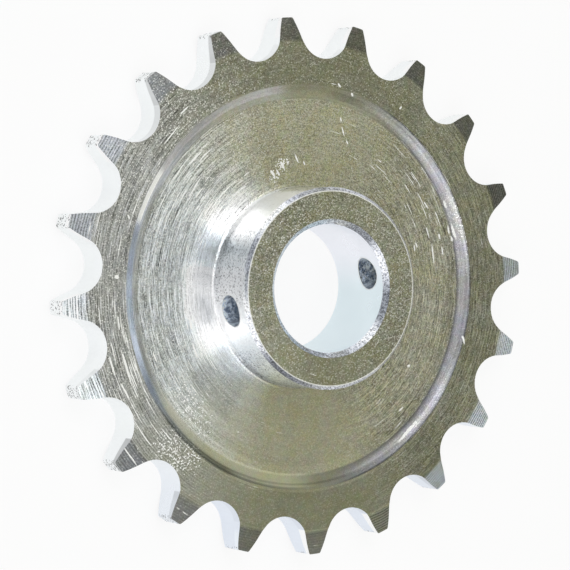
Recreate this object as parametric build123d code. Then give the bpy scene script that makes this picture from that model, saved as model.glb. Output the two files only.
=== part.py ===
from build123d import *
import math
import os

# A roller chain sprocket for one strand, turned, toothed and drilled from one blank.
# Millimetres. The axis is Z, the back face lies on Z = 0 and the hub stands up on +Z.
# The cross hole runs along X, in line with the tooth gaps that +X and -X point at.

# The chain that runs on the teeth
CHAIN_PITCH = 12.7
ROLLER_DIAMETER = 8.51

# Teeth
TOOTH_COUNT = 20
TIP_DIAMETER = 84.8
TIP_CORNER_RADIUS = 0.3
SIDE_RELIEF_HEIGHT = 4.2        # radial, from the tips inwards
SIDE_RELIEF_DEPTH = 1.0         # axial, at the tips, on both sides

# Rim and web
RIM_THICKNESS = 6.0
RECESS_DIAMETER = 63.8          # where the recess breaks the rim's front face
RECESS_DEPTH = 0.9
RECESS_CORNER_RADIUS = 4.0      # of the hollow corner between web and rim

# Hub
HUB_DIAMETER = 31.5
HUB_HEIGHT = 8.0                # above the rim's front face
HUB_CHAMFER = 0.6
HUB_ROOT_FILLET = 0.7           # between hub and web

# Bore and cross hole
BORE_DIAMETER = 20.0
BORE_FRONT_CHAMFER = 0.8
BORE_BACK_CHAMFER = 0.3
CROSS_HOLE_DIAMETER = 5.0
CROSS_HOLE_HEIGHT = 3.2         # of its axis, above the rim's front face

# Worked out from the sizes above
PITCH_RADIUS = CHAIN_PITCH / 2 / math.sin(math.pi / TOOTH_COUNT)
TIP_RADIUS = TIP_DIAMETER / 2
RECESS_RADIUS = RECESS_DIAMETER / 2
HUB_RADIUS = HUB_DIAMETER / 2
BORE_RADIUS = BORE_DIAMETER / 2
WEB_FACE = RIM_THICKNESS - RECESS_DEPTH
HUB_FACE = RIM_THICKNESS + HUB_HEIGHT

# The tooth gap of ISO 606: its widest seat for the roller, between its steepest flanks
SEAT_RADIUS = 0.505 * ROLLER_DIAMETER + 0.069 * ROLLER_DIAMETER ** (1 / 3)
SEAT_ANGLE = 140 - 90 / TOOTH_COUNT
FLANK_RADIUS = 0.12 * ROLLER_DIAMETER * (TOOTH_COUNT + 2)

CUT_PAST = 1.0                  # how far a cut runs on past the surface it opens


def half_section():
    """Half of the blank's section, in X and Z, walked round from the hub's root."""
    relief_start = TIP_RADIUS - SIDE_RELIEF_HEIGHT
    hub_root = (HUB_RADIUS, WEB_FACE + HUB_ROOT_FILLET)

    # The recess corner is an arc that leaves the web level and rises to the rim.
    corner_angle = math.acos(1 - RECESS_DEPTH / RECESS_CORNER_RADIUS)
    corner_start = RECESS_RADIUS - RECESS_CORNER_RADIUS * math.sin(corner_angle)

    with BuildSketch(Plane.XZ) as section:
        with BuildLine():
            fillet_arc = JernArc(hub_root, (0, -1), HUB_ROOT_FILLET, 90)
            web = Line(fillet_arc @ 1, (corner_start, WEB_FACE))
            JernArc(web @ 1, web % 1, RECESS_CORNER_RADIUS, math.degrees(corner_angle))
            Polyline(
                (RECESS_RADIUS, RIM_THICKNESS),
                (relief_start, RIM_THICKNESS),
                (TIP_RADIUS, RIM_THICKNESS - SIDE_RELIEF_DEPTH),
                (TIP_RADIUS, SIDE_RELIEF_DEPTH),
                (relief_start, 0),
                (BORE_RADIUS + BORE_BACK_CHAMFER, 0),
                (BORE_RADIUS, BORE_BACK_CHAMFER),
                (BORE_RADIUS, HUB_FACE - BORE_FRONT_CHAMFER),
                (BORE_RADIUS + BORE_FRONT_CHAMFER, HUB_FACE),
                (HUB_RADIUS - HUB_CHAMFER, HUB_FACE),
                (HUB_RADIUS, HUB_FACE - HUB_CHAMFER),
                hub_root,
            )
        make_face()
    return section.sketch


def turned_blank():
    """The blank as it leaves the lathe, with hub, web, rim, bore and chamfers."""
    with BuildPart() as blank:
        add(half_section())
        revolve(axis=Axis.Z)
    return blank.part


def tooth_gap():
    """One gap between two teeth, on +X: a roller seat with a flank on each side."""
    seat_centre = (PITCH_RADIUS, 0)
    with BuildSketch() as gap:
        with BuildLine():
            seat = CenterArc(seat_centre, SEAT_RADIUS, 180 - SEAT_ANGLE / 2, SEAT_ANGLE)

            # Each flank bulges into the gap, from the seat's end to past the tips.
            lean_at_seat = math.radians(90 - SEAT_ANGLE / 2)
            run = TIP_RADIUS + CUT_PAST - (seat @ 0).X
            lean_at_end = math.asin(math.sin(lean_at_seat) + run / FLANK_RADIUS)
            sweep = math.degrees(lean_at_end - lean_at_seat)
            upper = JernArc(seat @ 0, (seat % 0) * -1, FLANK_RADIUS, sweep)
            lower = JernArc(seat @ 1, seat % 1, FLANK_RADIUS, -sweep)
            Line(upper @ 1, lower @ 1)
        make_face()
    return gap.sketch


def toothed_outline():
    """The sprocket seen along its axis: the tip circle with every gap cut from it."""
    with BuildSketch() as outline:
        Circle(TIP_RADIUS)
        with PolarLocations(0, TOOTH_COUNT):
            add(tooth_gap(), mode=Mode.SUBTRACT)
        tip_corners = outline.vertices().group_by(SortBy.DISTANCE)[-1]
        fillet(tip_corners, TIP_CORNER_RADIUS)
    return outline.sketch


def sprocket():
    """The blank with its teeth cut and the cross hole drilled through the hub."""
    with BuildPart() as part:
        add(turned_blank())
        with BuildSketch():
            add(toothed_outline())
        extrude(amount=HUB_FACE, mode=Mode.INTERSECT)
        with Locations((0, 0, RIM_THICKNESS + CROSS_HOLE_HEIGHT)):
            Cylinder(
                CROSS_HOLE_DIAMETER / 2,
                HUB_DIAMETER + 2 * CUT_PAST,
                rotation=(0, 90, 0),
                mode=Mode.SUBTRACT,
            )
    return part.part


os.makedirs("parts", exist_ok=True)
export_step(sprocket(), "parts/sprocket.step")
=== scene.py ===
import math
from types import SimpleNamespace

import bpy
from mathutils import Matrix, Vector

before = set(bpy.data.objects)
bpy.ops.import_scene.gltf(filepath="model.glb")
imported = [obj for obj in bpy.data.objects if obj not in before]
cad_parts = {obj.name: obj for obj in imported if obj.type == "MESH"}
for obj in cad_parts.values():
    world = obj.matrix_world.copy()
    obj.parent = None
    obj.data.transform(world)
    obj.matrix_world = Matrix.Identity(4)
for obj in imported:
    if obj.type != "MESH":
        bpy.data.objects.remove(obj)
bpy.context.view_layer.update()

MM = 0.001

# The camera. Azimuths are turned from +X towards +Y, and elevations up from the floor.
CAMERA_AIM = Vector((-3.43, 1.17, 6.0)) * MM
CAMERA_AZIMUTH = 164.44
CAMERA_ELEVATION = 58.26
CAMERA_ROLL = 92.63
CAMERA_DISTANCE = 470.5 * MM
CAMERA_LENS = 189.7     # the focal length in millimetres, for Blender's sensor of 36 mm

# The panel of light over the part, and the floor, in metres and degrees
PANEL_PLACE = (-0.01, 0.0, 0.207)
PANEL_TURN = -16
PANEL_WIDTH = 0.20
PANEL_HEIGHT = 0.40
PANEL_RADIANCE = 0.78
FLOOR_REACH = 3.0
FLOOR_WHITE = 0.86      # how much of the floor is plain white to the camera, and so hides the shadow

# Sizes of the part, in millimetres, as in its own source
BORE_RADIUS = 10.0
HUB_RADIUS = 15.75
HUB_FACE = 14.0
HUB_CHAMFER = 0.6
RIM_FACE = 6.0
PIN_HOLE_HEIGHT = 9.2
PIN_HOLE_RADIUS = 2.5
RECESS_RADIUS = 31.9
RELIEF_RADIUS = 38.2
TIP_RADIUS = 42.4
RELIEF_FEED = 0.42      # from one turned groove of the tips' relief to the next

# Painted light and shade on the front: where it is drawn lighter or darker than the metal round it, to stand
# in for highlights, reflections and shadows. Each row gives the middle direction in degrees, the half widths
# at which the change is full and gone, the radii it runs between, its soft edge, and the change as a share.
LIGHT_AND_SHADE_PATCHES = (
    # on the web
    (-25, 45, 75, 16.5, 28.5, 1.5, -0.09),
    (80, 20, 45, 16.5, 30.0, 1.5, 0.16),
    (124, 8, 17, 16.0, 21.0, 1.5, 0.30),
    (128, 6, 14, 16.0, 29.0, 1.0, 0.06),
    (146, 4, 9, 16.5, 21.0, 1.0, -0.13),
    (166, 12, 26, 21.5, 29.0, 1.0, -0.08),
    (168, 8, 14, 16.0, 21.0, 1.5, 0.35),
    (-174, 8, 16, 16.0, 21.0, 1.5, 0.25),
    (-150, 6, 16, 25.5, 28.5, 1.5, 0.02),
    (-148, 8, 14, 17.5, 24.0, 1.0, -0.20),
    # from the web out to the tips
    (108, 13, 24, 19.0, 43.0, 1.0, -0.15),
    # in the recess's hollow corner
    (-32, 32, 55, 28.2, 29.8, 0.3, -0.20),
    (-118, 35, 50, 28.4, 29.4, 0.25, 0.10),
    (-20, 60, 75, 31.3, 31.8, 0.3, -0.36),
    (2, 8, 14, 30.2, 31.6, 0.3, 0.12),
    (30, 8, 14, 30.2, 31.6, 0.3, 0.16),
    (50, 12, 20, 30.4, 31.3, 0.2, -0.28),
    (80, 22, 35, 30.0, 31.8, 0.3, 0.15),
    (157, 4, 10, 30.2, 31.9, 0.3, -0.15),
    (157, 6, 12, 30.0, 31.9, 0.3, 0.30),
    (180, 8, 16, 30.8, 31.9, 0.3, 0.28),
    (-168, 9, 15, 30.0, 31.9, 0.3, -0.17),
    (-141, 10, 18, 31.2, 32.0, 0.2, -0.50),
    (-132, 22, 36, 29.6, 31.4, 0.3, 0.75),
    (-110, 38, 55, 31.0, 31.2, 0.12, -0.25),
    (-72, 14, 26, 29.8, 31.8, 0.3, -0.06),
    (-54, 4, 9, 30.0, 31.8, 0.3, -0.10),
    (-46, 16, 26, 29.8, 31.8, 0.3, -0.10),
    # on the rim
    (-88, 50, 70, 31.95, 32.3, 0.1, 0.25),
    (88, 28, 60, 31.9, 38.2, 0.2, -0.08),
    (-92, 25, 50, 31.9, 38.2, 0.2, -0.07),
    (-30, 30, 50, 32.2, 38.0, 0.5, -0.14),
    # on the tips
    (9, 3, 8, 38.5, 43.0, 0.2, -0.20),
    (108, 10, 18, 38.5, 43.0, 0.2, -0.26),
    (153, 3, 8, 38.5, 43.0, 0.2, 0.15),
    (-171, 5, 8, 38.5, 43.0, 0.2, -0.15),
    (-153, 5, 8, 38.5, 43.0, 0.2, -0.25),
    (-144, 10, 18, 38.5, 43.0, 0.2, -0.26),
    (-90, 14, 20, 38.5, 43.0, 0.2, 0.40),
    (-63, 5, 9, 38.5, 43.0, 0.2, -0.24),
    (-9, 5, 9, 38.5, 43.0, 0.2, -0.28),
    (-100, 179, 180, 40.0, 43.0, 1.0, 0.08),
    # on the hub: its wall, its outer chamfer, its face and the bore's chamfer
    (140, 4, 10, 15.6, 16.0, 0.05, -0.22),
    (70, 28, 42, 15.2, 15.7, 0.05, -0.32),
    (-100, 20, 30, 15.2, 15.7, 0.05, -0.22),
    (-135, 13, 22, 15.2, 15.7, 0.05, -0.35),
    (-35, 25, 40, 14.95, 15.6, 0.1, 0.45),
    (45, 35, 60, 11.0, 15.0, 0.3, 0.15),
    (135, 25, 50, 11.0, 15.0, 0.3, -0.16),
    (-135, 45, 60, 10.1, 10.8, 0.05, -0.28),
)

# Where scratches lie closer together: rows as in LIGHT_AND_SHADE_PATCHES, ending in how much closer
WORN = (
    (-170, 12, 24, 32.4, 40.0, 0.6, 0.10),
    (-160, 14, 26, 19.0, 27.0, 3.0, 0.04),
    (127, 14, 26, 19.0, 30.0, 1.5, 0.06),
    (146, 10, 18, 33.0, 38.0, 1.0, 0.06),
    (24, 12, 22, 24.0, 31.5, 1.5, 0.05),
    (-52, 12, 22, 22.0, 31.0, 2.0, 0.02),
)

# Where flecks lie closer together: rows as in WORN
PITTED = (
    (-145, 2, 9, 32.5, 34.8, 2.5, 0.9),
    (-150, 3, 13, 26.2, 28.2, 2.0, 0.6),
)

# The plainest nicks and scratches, drawn white, which stand partly for painted glints. Each gives the
# direction of its middle from the axis in degrees, the radius there, its length and width, and the degrees
# it leans from the circle about the axis.
NICKS = (
    (-174, 36.2, 3.4, 0.34, 0), (-172, 34.0, 6.5, 0.34, -2), (-171, 28.4, 1.8, 0.30, 3),
    (-167, 35.6, 3.5, 0.34, 6), (-166, 21.6, 2.8, 0.30, -7), (-62, 30.9, 5.0, 0.50, 2),
    (-59, 27.5, 1.2, 0.26, -5), (-45, 24.2, 0.6, 0.40, -59), (-29, 31.9, 1.6, 0.34, 27),
    (-1, 25.6, 3.5, 0.28, -3), (-1, 27.5, 1.6, 0.28, 0), (2, 29.7, 1.1, 0.38, 3),
    (3, 22.3, 1.1, 0.30, -10), (4, 22.8, 1.0, 0.30, 4), (4, 27.5, 1.1, 0.38, 0),
    (4, 30.3, 2.8, 0.50, 2), (5, 29.5, 1.4, 0.34, -5), (7, 25.5, 2.1, 0.24, -1),
    (13, 30.3, 1.6, 0.45, -1), (16, 27.0, 1.6, 0.28, 9), (45, 33.8, 0.7, 0.30, 85),
    (57, 24.4, 0.8, 0.30, -38), (60, 25.8, 1.6, 0.28, -55), (61, 31.7, 0.8, 0.40, -30),
    (62, 27.5, 0.8, 0.28, -58), (66, 32.5, 0.9, 0.32, -41), (76, 19.5, 0.7, 0.28, -65),
    (80, 20.2, 1.7, 0.30, -67), (85, 19.7, 0.7, 0.30, -70), (88, 19.5, 1.3, 0.55, -72),
    (91, 18.5, 1.3, 0.40, -73), (94, 18.6, 1.5, 0.50, -69), (116, 35.0, 2.2, 0.30, 3),
    (121, 27.9, 3.4, 0.28, 0), (123, 33.7, 4.4, 0.22, 2), (129, 24.9, 4.2, 0.22, 3),
    (129, 28.6, 3.0, 0.22, 1), (148, 33.4, 0.9, 0.30, 40), (164, 33.6, 0.9, 0.70, 60),
    (176, 33.6, 2.4, 0.28, 0),
)

# What the part sees round it: one colour all over, and patches laid over it in turn. Each patch gives an
# azimuth, an elevation, the degrees from there at which its colour is full and gone, and the colour.
SKY = (0.85, 0.87, 0.90)
SKY_PATCHES = (
    (-16, 10, 62, 88, (0.42, 0.42, 0.33)),
    (0, 90, 17, 31, (0.20, 0.20, 0.21)),
    (97, 22, 8, 20, (1.15, 1.15, 1.12)),
    (207, 22, 12, 26, (1.15, 1.15, 1.15)),
    (12, 8, 14, 30, (0.28, 0.28, 0.23)),
    (-82, 20, 10, 28, (0.38, 0.37, 0.30)),
    (-109, 12, 10, 28, (0.15, 0.16, 0.17)),
    (147, 26, 14, 34, (0.18, 0.20, 0.22)),
)

# The two lamps beside the part. Each gives its name, azimuth, elevation, distance, width and height in
# metres, and radiance.
SOFTBOXES = (
    ("softbox_left", 93, 60, 1.0, 0.36, 0.26, 1.8),
    ("softbox_right", 210, 58, 1.0, 0.40, 0.32, 1.1),
)


def direction(azimuth, elevation):
    """The unit vector that points that way."""
    a = math.radians(azimuth)
    e = math.radians(elevation)
    return Vector((math.cos(e) * math.cos(a), math.cos(e) * math.sin(a), math.sin(e)))


def link(thing):
    """Puts an object into the scene."""
    bpy.context.scene.collection.objects.link(thing)
    return thing


class Graph:
    """Adds nodes to one node tree. A value may be a number, a tuple or another node's socket."""

    def __init__(self, tree):
        self.tree = tree
        tree.nodes.clear()

    def put(self, socket, value):
        if isinstance(value, bpy.types.NodeSocket):
            self.tree.links.new(value, socket)
        else:
            socket.default_value = value

    def node(self, kind, inputs=(), **settings):
        made = self.tree.nodes.new(kind)
        for name, value in settings.items():
            setattr(made, name, value)
        for key, value in dict(inputs).items():
            self.put(made.inputs[key], value)
        return made

    def math(self, operation, *values, clamp=False):
        made = self.node("ShaderNodeMath", enumerate(values), operation=operation, use_clamp=clamp)
        return made.outputs[0]

    def times(self, *values):
        result = values[0]
        for value in values[1:]:
            result = self.math("MULTIPLY", result, value)
        return result

    def plus(self, *values):
        result = values[0]
        for value in values[1:]:
            result = self.math("ADD", result, value)
        return result

    def inverse(self, value):
        return self.math("SUBTRACT", 1.0, value)

    def vector(self, operation, *values):
        made = self.node("ShaderNodeVectorMath", enumerate(values), operation=operation)
        return made.outputs["Value" if operation in ("LENGTH", "DISTANCE", "DOT_PRODUCT") else "Vector"]

    def scaled(self, vector, by):
        made = self.node("ShaderNodeVectorMath", {"Vector": vector, "Scale": by}, operation="SCALE")
        return made.outputs["Vector"]

    def join(self, x, y, z):
        return self.node("ShaderNodeCombineXYZ", {"X": x, "Y": y, "Z": z}).outputs[0]

    def split(self, vector):
        return self.node("ShaderNodeSeparateXYZ", {"Vector": vector}).outputs

    def colour(self, red, green, blue):
        return self.node("ShaderNodeCombineColor", {"Red": red, "Green": green, "Blue": blue}).outputs[0]

    def red(self, colour):
        return self.node("ShaderNodeSeparateColor", {"Color": colour}).outputs[0]

    def noise(self, vector, scale=1.0, detail=2.0, roughness=0.5):
        inputs = {"Vector": vector, "Scale": scale, "Detail": detail, "Roughness": roughness}
        return self.node("ShaderNodeTexNoise", inputs).outputs["Fac"]

    def cells(self, vector):
        """A number from 0 to 1 for each cell, where cells are about 1 apart."""
        made = self.node("ShaderNodeTexVoronoi", {"Vector": vector, "Scale": 1.0})
        return self.red(made.outputs["Color"])

    def dots(self, vector):
        """Dots about 1 apart in X and Y: a number from 0 to 1 for each, and how far off its middle is."""
        inputs = {"Vector": vector, "Scale": 1.0}
        made = self.node("ShaderNodeTexVoronoi", inputs, voronoi_dimensions="2D")
        return self.red(made.outputs["Color"]), made.outputs["Distance"]

    def ramp(self, value, low, high, out_low=0.0, out_high=1.0):
        """value from low to high, eased, becomes out_low to out_high, and stays there beyond."""
        inputs = {0: value, 1: low, 2: high, 3: out_low, 4: out_high}
        made = self.node("ShaderNodeMapRange", inputs, interpolation_type="SMOOTHSTEP", clamp=False)
        return made.outputs[0]

    def mix(self, factor, a, b, blend="MIX", clamp=False):
        made = self.node("ShaderNodeMix", data_type="RGBA", blend_type=blend, clamp_result=clamp)
        self.put(made.inputs[0], factor)
        self.put(made.inputs[6], a if isinstance(a, bpy.types.NodeSocket) else (*a, 1.0))
        self.put(made.inputs[7], b if isinstance(b, bpy.types.NodeSocket) else (*b, 1.0))
        return made.outputs[2]


def add_camera():
    """The camera that takes the photo's view."""
    data = bpy.data.cameras.new("camera")
    data.lens = CAMERA_LENS
    data.clip_start = 0.01
    camera = link(bpy.data.objects.new("camera", data))
    back = direction(CAMERA_AZIMUTH, CAMERA_ELEVATION)
    level = back.to_track_quat("Z", "Y").to_matrix().to_4x4()
    roll = Matrix.Rotation(math.radians(CAMERA_ROLL), 4, "Z")
    place = Matrix.Translation(CAMERA_AIM + back * CAMERA_DISTANCE)
    camera.matrix_world = place @ level @ roll
    bpy.context.scene.camera = camera


class Surface(Graph):
    """A graph for a part turned about Z, with the places and directions that its marks follow."""

    def __init__(self, tree):
        super().__init__(tree)
        self.normal = self.node("ShaderNodeNewGeometry").outputs["Normal"]
        place = self.node("ShaderNodeTexCoord").outputs["Object"]
        self.mm = self.scaled(place, 1 / MM)
        x, y, self.z = self.split(self.mm)
        self.level = self.join(x, y, 0.0)
        self.radius = self.vector("LENGTH", self.level)
        self.outward = self.vector("NORMALIZE", self.level)
        self.cos, self.sin, _ = self.split(self.outward)
        around = self.vector("CROSS_PRODUCT", (0, 0, 1), self.outward)
        self.across = self.vector("CROSS_PRODUCT", around, self.normal)

    def sector(self, middle, inner, outer):
        """1 within inner degrees of that direction about the axis, easing to 0 at outer degrees."""
        a = math.radians(middle)
        towards = self.vector("DOT_PRODUCT", self.outward, (math.cos(a), math.sin(a), 0.0))
        return self.ramp(towards, math.cos(math.radians(outer)), math.cos(math.radians(inner)))

    def between(self, value, low, high, soft):
        """1 from low to high, easing to 0 over soft on either side."""
        above = self.ramp(value, low - soft, low)
        return self.times(above, self.inverse(self.ramp(value, high, high + soft)))

    def region(self, middle, inner, outer, start, end, soft):
        """1 in that sector between those radii, easing to 0 round them."""
        return self.times(self.sector(middle, inner, outer), self.between(self.radius, start, end, soft))

    def regions(self, rows):
        """The sum of several regions, each times the last number of its row."""
        return self.plus(*(self.times(self.region(*row[:-1]), row[-1]) for row in rows))

    def spot(self, angle, distance, inner, outer):
        """1 within inner mm of the point at that angle and distance, easing to 0 at outer mm."""
        a = math.radians(angle)
        centre = (distance * math.cos(a), distance * math.sin(a), 0.0)
        return self.ramp(self.vector("DISTANCE", self.level, centre), outer, inner)

    def nicks(self, table):
        """How far off the nearest nick's middle a point lies, where 1 is the nick's edge."""
        nearest = 9.0       # farther off than any that shows
        turned = self.level
        before = 0.0
        for angle, distance, length, width, lean in table:
            inputs = {"Vector": turned, "Angle": math.radians(before - angle)}
            turned = self.node("ShaderNodeVectorRotate", inputs, rotation_type="Z_AXIS").outputs[0]
            inputs = {"Vector": turned, "Location": (distance, 0, 0), "Scale": (length / 2, width / 2, 1),
                      "Rotation": (0, 0, math.radians(90 + lean))}
            nick = self.node("ShaderNodeMapping", inputs, vector_type="TEXTURE").outputs[0]
            nearest = self.math("MINIMUM", nearest, self.vector("LENGTH", nick))
            before = angle
        return nearest

    def turned(self, along, over, shift=0.0):
        """Coordinates that run round the axis: along per radian, over per mm across the cut."""
        depth = self.math("MULTIPLY_ADD", self.plus(self.radius, self.z), over, shift)
        return self.join(self.times(self.cos, along), self.times(self.sin, along), depth)

    def swing(self, value, by):
        """A value about 0.5 becomes one about 0, times by."""
        return self.times(self.math("SUBTRACT", value, 0.5), by)


def part_masks(s):
    """Masks from 0 to 1 that say which part of the sprocket a point lies on."""
    upright = s.math("ABSOLUTE", s.split(s.normal)[2])
    flat = s.ramp(upright, 0.5, 0.9)
    steep = s.inverse(flat)
    front = s.ramp(s.z, RIM_FACE - 2.0, RIM_FACE - 1.6)
    hub_face = s.ramp(s.z, HUB_FACE - 0.7, HUB_FACE - 0.3)
    slanted = s.times(s.inverse(s.ramp(upright, 0.9, 0.97)), s.ramp(upright, 0.1, 0.3))
    on_rim = s.ramp(s.radius, RECESS_RADIUS - 0.2, RECESS_RADIUS + 0.2)
    near_relief = s.ramp(s.radius, RELIEF_RADIUS - 0.1, RELIEF_RADIUS)
    on_relief = s.ramp(s.radius, RELIEF_RADIUS + 0.1, RELIEF_RADIUS + 0.9)
    pin_height = s.math("SUBTRACT", s.z, PIN_HOLE_HEIGHT)
    pin_axis = s.vector("LENGTH", s.join(0.0, s.split(s.mm)[1], pin_height))
    face_edge = HUB_RADIUS - HUB_CHAMFER
    return SimpleNamespace(
        front=front,
        flat=flat,
        rim=s.math("MAXIMUM", on_rim, s.inverse(front)),
        relief=s.times(on_relief, s.ramp(upright, 0.9, 0.95)),
        relief_start=s.times(near_relief, s.inverse(on_relief), flat),
        fillet=s.times(s.between(s.radius, RECESS_RADIUS - 2.0, RECESS_RADIUS - 0.1, 0.4), front),
        recess_edge=s.times(s.between(s.radius, RECESS_RADIUS - 0.16, RECESS_RADIUS + 0.02, 0.06), front),
        hub_face=hub_face,
        chamfer=s.times(slanted, s.ramp(s.z, HUB_FACE - 1.0, HUB_FACE - 0.9)),
        hub_edge=s.times(s.between(s.radius, face_edge - 0.09, face_edge + 0.05, 0.05),
                         s.ramp(s.z, HUB_FACE - 0.15, HUB_FACE - 0.05)),
        hub_wall=s.times(steep, s.between(s.radius, HUB_RADIUS - 0.15, HUB_RADIUS + 0.35, 0.1)),
        bore=s.times(steep, s.inverse(s.ramp(s.radius, BORE_RADIUS + 0.05, BORE_RADIUS + 0.15))),
        pin_hole=s.times(s.between(s.radius, BORE_RADIUS + 0.1, HUB_RADIUS - 0.1, 0.05),
                         s.between(pin_height, -PIN_HOLE_RADIUS - 0.1, PIN_HOLE_RADIUS + 0.1, 0.1)),
        pin_edge=s.times(s.between(pin_axis, PIN_HOLE_RADIUS + 0.03, PIN_HOLE_RADIUS + 0.15, 0.05), steep,
                         s.ramp(s.radius, BORE_RADIUS - 1.0, BORE_RADIUS - 0.5),
                         s.inverse(s.ramp(s.radius, HUB_RADIUS + 0.05, HUB_RADIUS + 0.15))),
        tip_land=s.times(steep, s.ramp(s.radius, TIP_RADIUS - 0.5, TIP_RADIUS - 0.2)),
        near_hub=s.times(flat, s.inverse(s.ramp(s.radius, 18.0, 25.0)), s.inverse(hub_face), front),
    )


def web_tones(s, part, cloud, left):
    """The web and the recess's hollow corner, with painted light: paler and cooler on the left, a painted
    highlight by the hub on the left, painted shade in the corner on the right, and painted reflections in
    pale blue, lilac and blue bands of the corner.
    """
    web = s.mix(cloud, (0.58, 0.572, 0.46), (0.67, 0.665, 0.54))
    # Painted light: paler and cooler on the left, and a painted highlight by the hub there.
    web = s.mix(left, web, (0.64, 0.68, 0.70))
    web = s.mix(s.times(part.near_hub, left, 0.9), web, (0.84, 0.89, 0.93))
    # Painted shade in the corner on the right, and a painted pale blue reflection in it on the left.
    web = s.mix(part.fillet, web, s.mix(s.sector(-22, 55, 80), (0.47, 0.475, 0.41), (0.38, 0.38, 0.40)))
    web = s.mix(s.times(part.fillet, s.sector(165, 30, 60)), web, (0.65, 0.68, 0.77))
    # Bands of painted reflection, lilac round 112 degrees and blue round 179 degrees.
    lilac_reflection = s.times(s.between(s.radius, 30.8, 31.8, 0.3), s.sector(112, 20, 32), part.front)
    web = s.mix(lilac_reflection, web, (0.66, 0.65, 0.68))
    blue_reflection = s.times(s.between(s.radius, 30.7, 31.9, 0.3), s.sector(179, 16, 28), part.front)
    return s.mix(blue_reflection, web, (0.60, 0.67, 0.80))


def rim_tones(s, part, cloud, left):
    """The rim and the relieved tips, with painted shade at the top and painted light on the left and lower
    right.
    """
    rim = s.mix(cloud, (0.41, 0.415, 0.325), (0.48, 0.485, 0.39))
    # Painted reflection: the rim neutral grey instead of olive on the left.
    rim = s.mix(left, rim, (0.39, 0.40, 0.39))
    # Painted light and shade on the relieved tips: dark in most places, lighter on the left, nearly white
    # round 180 degrees and pale blue on the lower right.
    relief = s.mix(s.sector(162, 32, 62), (0.24, 0.245, 0.24), (0.34, 0.36, 0.38))
    relief = s.mix(s.sector(180, 11, 17), relief, (0.78, 0.84, 0.87))
    relief = s.mix(s.sector(-36, 30, 42), relief, (0.70, 0.77, 0.90))
    return s.mix(part.relief, rim, relief)


def face_tones(s, part):
    """All the turned faces, with faint clouds of other hues, and painted light that makes them paler and
    cooler on the left.
    """
    cloud = s.noise(s.mm, 0.12, 3.0, 0.6)
    patchy = s.noise(s.mm, 0.55, 2.0, 0.6)
    # The left side, where painted light makes the faces paler and cooler and lays less hue and stain on
    # them.
    left = s.times(s.sector(168, 25, 75), s.inverse(part.hub_face))
    hub = s.mix(patchy, (0.39, 0.395, 0.305), (0.455, 0.46, 0.365))
    face = s.mix(part.rim, web_tones(s, part, cloud, left), rim_tones(s, part, cloud, left))
    face = s.mix(part.hub_face, face, hub)
    tinted = s.inverse(s.times(left, 0.65))
    hue = s.ramp(s.noise(s.mm, 0.3, 3.0, 0.6), 0.35, 0.65)
    face = s.mix(tinted, face, s.mix(hue, (1.01, 1.0, 0.90), (1.0, 0.998, 1.04)), "MULTIPLY")
    stain = s.node("ShaderNodeTexNoise", {"Vector": s.mm, "Scale": 0.9, "Detail": 3.0}).outputs["Color"]
    stain = s.mix(1.0, stain, (2.0, 2.0, 2.0), "MULTIPLY")
    return s.mix(s.times(tinted, 0.13), face, s.mix(1.0, face, stain, "MULTIPLY"))


def wall_tones(s, part):
    """The walls of the tooth gaps, the hub and the bore, all nearly white, with a painted pale blue
    reflection on some gap walls and painted shade in the bore.
    """
    wall = s.mix(s.noise(s.mm, 0.2, 2.0, 0.6), (0.97, 1.0, 0.99), (0.96, 0.98, 1.0))
    # Painted reflection: the gap walls pale blue round -88 degrees.
    wall = s.mix(s.sector(-88, 30, 70), wall, (0.82, 0.87, 0.95))
    # Painted shade in the bore: palest round 50 degrees, darker and bluer away from it.
    bore = s.mix(s.sector(50, 20, 70), (0.80, 0.90, 0.94), (0.93, 0.945, 1.0))
    return s.mix(part.bore, wall, bore)


def tones(s, part):
    """The colour of the clean metal: olive grey on the faces, nearly white on the walls, with painted light
    and shade laid over the front.
    """
    face = face_tones(s, part)
    base = s.mix(part.flat, wall_tones(s, part), face)
    base = s.mix(part.chamfer, base, (0.76, 0.78, 0.84))
    blotch = s.ramp(s.noise(s.mm, 1.1, 2.0, 0.7), 0.42, 0.62)
    base = s.mix(part.pin_hole, base, s.mix(blotch, (0.18, 0.23, 0.32), (0.76, 0.84, 0.95)))
    # Painted highlights, reflections and shadows: each listed patch makes the front lighter or darker.
    shade = 1.0
    for *place, change in LIGHT_AND_SHADE_PATCHES:
        where = s.times(s.region(*place), part.front)
        shade = s.times(s.math("MULTIPLY_ADD", where, change, 1.0), shade)
    return s.mix(1.0, base, s.colour(shade, shade, shade), "MULTIPLY", clamp=True)


def lathe_textures(s):
    """The patterns that the lathe's marks and the grain are made of, each from 0 to 1."""
    return SimpleNamespace(
        rings=s.noise(s.turned(0.8, 4.0, 3.0), 1.0, 1.0),
        arcs=s.noise(s.turned(4.0, 8.0, 20.0), 1.0, 1.0),
        dashes=s.cells(s.turned(22.0, 9.0)),
        grain=s.cells(s.scaled(s.mm, 9.0)),
        silver=s.cells(s.scaled(s.mm, 5.0)),
    )


def streaks(s, part, cut):
    """Turned lines and short dashes, real lathe marks made plainest on the left and the right as painted
    glints.
    """
    # Stronger on the left and right, where the lines stand partly for painted glints.
    left = s.times(s.sector(160, 30, 70), 0.9)
    right = s.times(s.sector(-20, 30, 70), 0.45)
    lines = s.times(s.plus(s.swing(cut.rings, 0.35), s.swing(cut.arcs, 1.9)), s.plus(0.2, left, right))
    sides = s.plus(0.2, s.times(s.sector(164, 25, 65), 0.55), s.times(s.sector(-22, 35, 80), 0.7))
    dash = s.times(s.math("SUBTRACT", s.math("POWER", cut.dashes, 3.0), 0.25), sides, 0.9)
    off_hub = s.inverse(s.times(part.hub_face, 0.85))
    off_relief = s.inverse(s.times(part.relief, s.inverse(s.sector(180, 13, 18)), 0.75))
    return s.times(s.plus(lines, dash), off_hub, off_relief)


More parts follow.
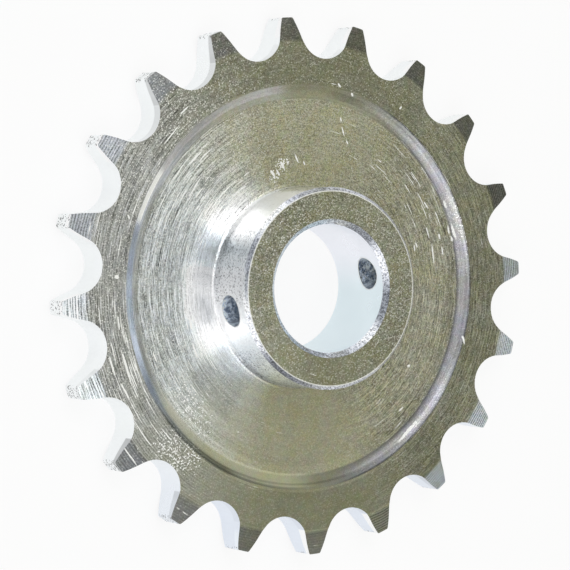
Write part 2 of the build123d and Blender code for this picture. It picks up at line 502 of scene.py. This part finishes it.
def specks(s, part, cut):
    """Fine grain, densest on the hub's face and on one rough stretch at the lower left."""
    rough = s.times(s.region(-145, 4, 12, 28.0, 35.5, 3.0), 0.7)
    density = s.plus(0.9, s.times(s.sector(70, 30, 65), 0.1), s.times(part.hub_face, 0.35), rough)
    density = s.times(density, s.inverse(s.times(part.rim, 0.1)))
    return s.times(s.plus(s.swing(cut.grain, 0.8), -0.14), density)


def feed_marks(s, part):
    """The even grooves that the tool left on the relieved tips and faintly on the rim's left."""
    wander = s.times(s.noise(s.mm, 0.25, 1.0), 9.0)
    groove = s.math("SINE", s.plus(s.times(s.radius, math.tau / RELIEF_FEED), wander))
    strength = s.plus(0.1, s.times(s.sector(-36, 45, 60), 0.3), s.times(s.sector(170, 30, 45), 0.2))
    on_rim = s.times(part.rim, s.inverse(part.relief), s.sector(-165, 15, 40), 0.2)
    return s.times(groove, s.plus(s.times(part.relief, strength), on_rim))


def face_marks(s, part, cut, smooth):
    """What the lathe's marks and the grain add to the faces' brightness."""
    calm = s.sector(-118, 25, 55)
    lines = s.times(streaks(s, part, cut), s.inverse(s.times(calm, 0.7)))
    grain = s.times(specks(s, part, cut), s.inverse(s.times(calm, 0.5)))
    marks = s.plus(s.times(s.plus(lines, grain), s.inverse(s.times(smooth, 0.6))), feed_marks(s, part))
    return s.times(marks, part.flat, s.inverse(part.chamfer))


def wall_marks(s, part, cut):
    """What the rough plating adds to the brightness of the hub's wall and chamfers."""
    rough_wall = s.plus(s.times(s.math("POWER", cut.silver, 3.0), -0.9), 0.15, s.swing(cut.rings, 0.4))
    # Less grain in two sectors, as part of the painted highlight that makes the wall look plain white there.
    for middle, inner, outer in ((114, 14, 22), (-170, 10, 18)):
        rough_wall = s.times(rough_wall, s.inverse(s.times(s.sector(middle, inner, outer), 0.85)))
    return s.plus(s.times(part.hub_wall, rough_wall), s.times(part.chamfer, s.swing(cut.silver, 1.2)))


def cut_marks(s, part):
    """How much lighter or darker the lathe's marks, and a painted line of shade along the recess's edge on
    the right, make each point, about 1, and its slope outward.
    """
    cut = lathe_textures(s)
    smooth = s.math("MAXIMUM", part.fillet, s.times(part.near_hub, s.sector(170, 20, 45)))
    # Painted shade: a dark line along the recess's outer edge on the right.
    painted_edge_shade = s.times(part.recess_edge, s.sector(-20, 60, 75), -0.5)
    tone = s.plus(1.0, face_marks(s, part, cut, smooth), wall_marks(s, part, cut), painted_edge_shade)
    slope = s.plus(s.swing(cut.arcs, 0.12), s.swing(cut.dashes, 0.05), s.swing(cut.rings, 0.12))
    slope = s.times(slope, part.flat, s.inverse(s.times(smooth, 0.65)))
    slope = s.plus(slope, s.times(part.relief_start, -0.23))
    return tone, s.plus(slope, s.times(s.swing(cut.silver, 0.3), part.hub_wall))


def glints(s, part):
    """Fine bright points: thickest at the top and on the hub's face, and few at the bottom."""
    chance, off = s.dots(s.scaled(s.level, 3.6))
    point = s.times(s.ramp(off, 0.55, 0.15), s.math("POWER", chance, 3.0))
    few = s.sector(-118, 25, 55)
    smooth = s.times(part.near_hub, s.sector(168, 30, 45))
    on_hub = s.times(part.hub_face, s.plus(0.6, s.times(s.sector(150, 40, 70), -0.6)))
    share = s.plus(1.05, s.times(s.sector(80, 35, 65), 0.6), on_hub, s.times(few, -0.4))
    share = s.times(share, s.inverse(s.times(part.rim, s.inverse(s.sector(165, 40, 70)), 0.35)))
    share = s.times(share, s.inverse(s.times(part.fillet, s.inverse(s.times(s.sector(4, 6, 14), 0.6)), 0.8)))
    share = s.times(share, s.inverse(s.times(part.relief, 0.6)))
    return s.times(point, share, part.flat, s.inverse(part.chamfer), s.inverse(s.times(smooth, 0.7)))


def worn_marks(s, part):
    """Bright scratches and flecks, denser where the part is more worn and drawn white partly as painted
    glints, with a painted highlight in the recess's corner and painted highlights along the hub's and the
    pin hole's edges.
    """
    ragged = s.swing(s.noise(s.scaled(s.mm, 3.0)), 0.9)
    nicked = s.times(s.ramp(s.plus(s.nicks(NICKS), ragged), 1.1, 0.7), part.front)
    patchy = s.swing(s.noise(s.mm, 0.55, 2.0, 0.6), 0.12)
    worn = s.regions(WORN)
    gouged = s.plus(s.spot(88, 19.5, 0.5, 1.8), s.spot(93, 18.0, 0.3, 1.5))
    scratch = s.ramp(s.plus(s.cells(s.turned(11.0, 8.0, 80.0)), worn, patchy), 0.995, 1.03)
    chips = s.plus(gouged, s.times(worn, 0.2), s.regions(PITTED))
    fleck = s.ramp(s.plus(s.cells(s.scaled(s.mm, 5.5)), s.times(chips, 0.25), patchy), 1.0, 1.04)
    marks = s.times(s.math("MAXIMUM", scratch, fleck), part.flat, s.inverse(s.times(part.fillet, 0.7)))
    # Painted highlight: a bright streak in the recess's hollow corner round 140 degrees.
    corner_highlight = s.times(s.region(140, 6, 10, 30.9, 31.8, 0.12), part.front)
    # Painted highlights: thin bright lines along the edge of the hub's face and the edge of the pin hole.
    edge_highlights = s.math("MAXIMUM", s.times(part.hub_edge, 0.75), s.times(part.pin_edge, 0.8))
    for more in (corner_highlight, nicked, edge_highlights):
        marks = s.math("MAXIMUM", marks, more)
    return marks


def dull_places(s, part):
    """How far each point shines like paint and not like bare metal, from 0 to 1; in the listed sectors this
    is painted light, which makes them look lit.
    """
    dull = s.plus(s.times(part.pin_hole, 0.7), s.times(part.chamfer, 0.25))
    # Painted light: sectors of the hub's wall, the web by the hub, the recess's corner and the relieved tips
    # made matt so that they catch more light.
    for mask, middle, inner, outer, share in (
        (part.hub_wall, 105, 8, 13, 0.6),
        (part.hub_wall, 163, 12, 20, 0.4),
        (part.near_hub, 178, 7, 15, 0.6),
        (part.fillet, 112, 20, 32, 0.5),
        (part.relief, -36, 30, 42, 0.35),
    ):
        dull = s.math("MULTIPLY_ADD", s.times(mask, s.sector(middle, inner, outer)), share, dull)
    return s.math("MINIMUM", dull, 1.0)


def plated_steel():
    """Bright plated steel as the lathe left it: fine rings, grain, short scratches and worn flecks, with
    painted light and shade, glints and highlights in its colour.
    """
    material = bpy.data.materials.new("plated_steel")
    material.use_nodes = True
    s = Surface(material.node_tree)
    part = part_masks(s)
    bright = worn_marks(s, part)
    tone, slope = cut_marks(s, part)
    cool = s.math("MULTIPLY_ADD", s.ramp(tone, 1.0, 2.0), 0.15, tone)
    base = s.mix(1.0, tones(s, part), s.colour(tone, tone, cool), "MULTIPLY")
    base = s.mix(glints(s, part), base, (0.90, 0.90, 0.88))
    # White scratches and flecks, partly painted glints, and painted highlights in the recess's corner and
    # along the hub's and the pin hole's edges.
    base = s.mix(bright, base, (0.97, 0.97, 0.94))
    chipped = s.ramp(s.cells(s.scaled(s.mm, 5.0)), 0.80, 0.88, 0.0, 0.85)
    base = s.mix(s.times(chipped, part.tip_land), base, (0.12, 0.12, 0.12))

    shading = s.vector("NORMALIZE", s.vector("ADD", s.normal, s.scaled(s.across, slope)))
    rough = s.ramp(s.noise(s.mm, 0.12, 3.0, 0.6), 0.3, 0.7, 0.27, 0.34)
    for where, smoother in ((part.fillet, -0.10), (part.near_hub, -0.06), (part.chamfer, -0.12)):
        rough = s.math("MULTIPLY_ADD", where, smoother, rough)
    shader = s.node("ShaderNodeBsdfPrincipled", {
        "Base Color": base,
        "Metallic": s.inverse(s.math("MAXIMUM", bright, dull_places(s, part))),
        "Roughness": rough,
        "Anisotropic": 0.7,
        "Normal": shading,
        "Tangent": s.across,
    })
    out = s.node("ShaderNodeOutputMaterial")
    s.put(out.inputs["Surface"], shader.outputs[0])
    return material


def add_floor():
    """A white floor that keeps a pale shadow of the part."""
    mesh = bpy.data.meshes.new("floor")
    corners = [(x * FLOOR_REACH, y * FLOOR_REACH, 0) for x, y in ((-1, -1), (1, -1), (1, 1), (-1, 1))]
    mesh.from_pydata(corners, [], [(0, 1, 2, 3)])
    floor = link(bpy.data.objects.new("floor", mesh))
    material = bpy.data.materials.new("floor")
    material.use_nodes = True
    g = Graph(material.node_tree)
    path = g.node("ShaderNodeLightPath").outputs
    seen = g.math("ADD", path["Is Camera Ray"], path["Is Glossy Ray"], clamp=True)
    seen = g.math("ADD", seen, path["Is Transmission Ray"], clamp=True)
    paper = g.node("ShaderNodeBsdfDiffuse", {"Color": (0.95, 0.95, 0.95, 1)}).outputs[0]
    white = g.node("ShaderNodeEmission", {"Color": (1, 1, 1, 1), "Strength": 1.0}).outputs[0]
    share_of_white = g.math("MULTIPLY", seen, FLOOR_WHITE)
    mixed = g.node("ShaderNodeMixShader", {0: share_of_white, 1: paper, 2: white}).outputs[0]
    out = g.node("ShaderNodeOutputMaterial")
    g.put(out.inputs["Surface"], mixed)
    mesh.materials.append(material)


def add_world():
    """White to the camera, and the light and dark stretches of SKY_PATCHES to the part."""
    world = bpy.data.worlds.new("studio")
    bpy.context.scene.world = world
    world.use_nodes = True
    g = Graph(world.node_tree)
    way = g.node("ShaderNodeTexCoord").outputs["Generated"]
    sky = SKY
    for azimuth, elevation, inner, outer, colour in SKY_PATCHES:
        towards = g.vector("DOT_PRODUCT", way, tuple(direction(azimuth, elevation)))
        patch = g.ramp(towards, math.cos(math.radians(outer)), math.cos(math.radians(inner)))
        sky = g.mix(patch, sky, colour)
    camera_ray = g.node("ShaderNodeLightPath").outputs["Is Camera Ray"]
    shown = g.mix(camera_ray, sky, (1.0, 1.0, 1.0))
    background = g.node("ShaderNodeBackground", {"Color": shown, "Strength": 1.0})
    out = g.node("ShaderNodeOutputWorld")
    g.put(out.inputs["Surface"], background.outputs[0])


def add_lamp(name, place, width, height, radiance):
    """A rectangular area lamp that the camera doesn't see."""
    data = bpy.data.lights.new(name, "AREA")
    data.shape = "RECTANGLE"
    data.size = width
    data.size_y = height
    data.energy = radiance * math.pi * width * height
    lamp = link(bpy.data.objects.new(name, data))
    lamp.matrix_world = place
    lamp.visible_camera = False


def add_softbox(name, azimuth, elevation, distance, width, height, radiance):
    """A lamp that faces the part from that direction; width is level."""
    back = direction(azimuth, elevation)
    facing = back.to_track_quat("Z", "Y").to_matrix().to_4x4()
    add_lamp(name, Matrix.Translation(back * distance) @ facing, width, height, radiance)


def add_panel():
    """A level panel over the part, a little towards the camera, so that it lights that side more."""
    turn = Matrix.Rotation(math.radians(PANEL_TURN), 4, "Z")
    place = turn @ Matrix.Translation(PANEL_PLACE)
    add_lamp("panel", place, PANEL_WIDTH, PANEL_HEIGHT, PANEL_RADIANCE)


add_camera()
steel = plated_steel()
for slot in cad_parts["sprocket"].material_slots:
    slot.material = steel
add_floor()
add_world()
for row in SOFTBOXES:
    add_softbox(*row)
add_panel()

bpy.context.scene.view_settings.view_transform = "Standard"
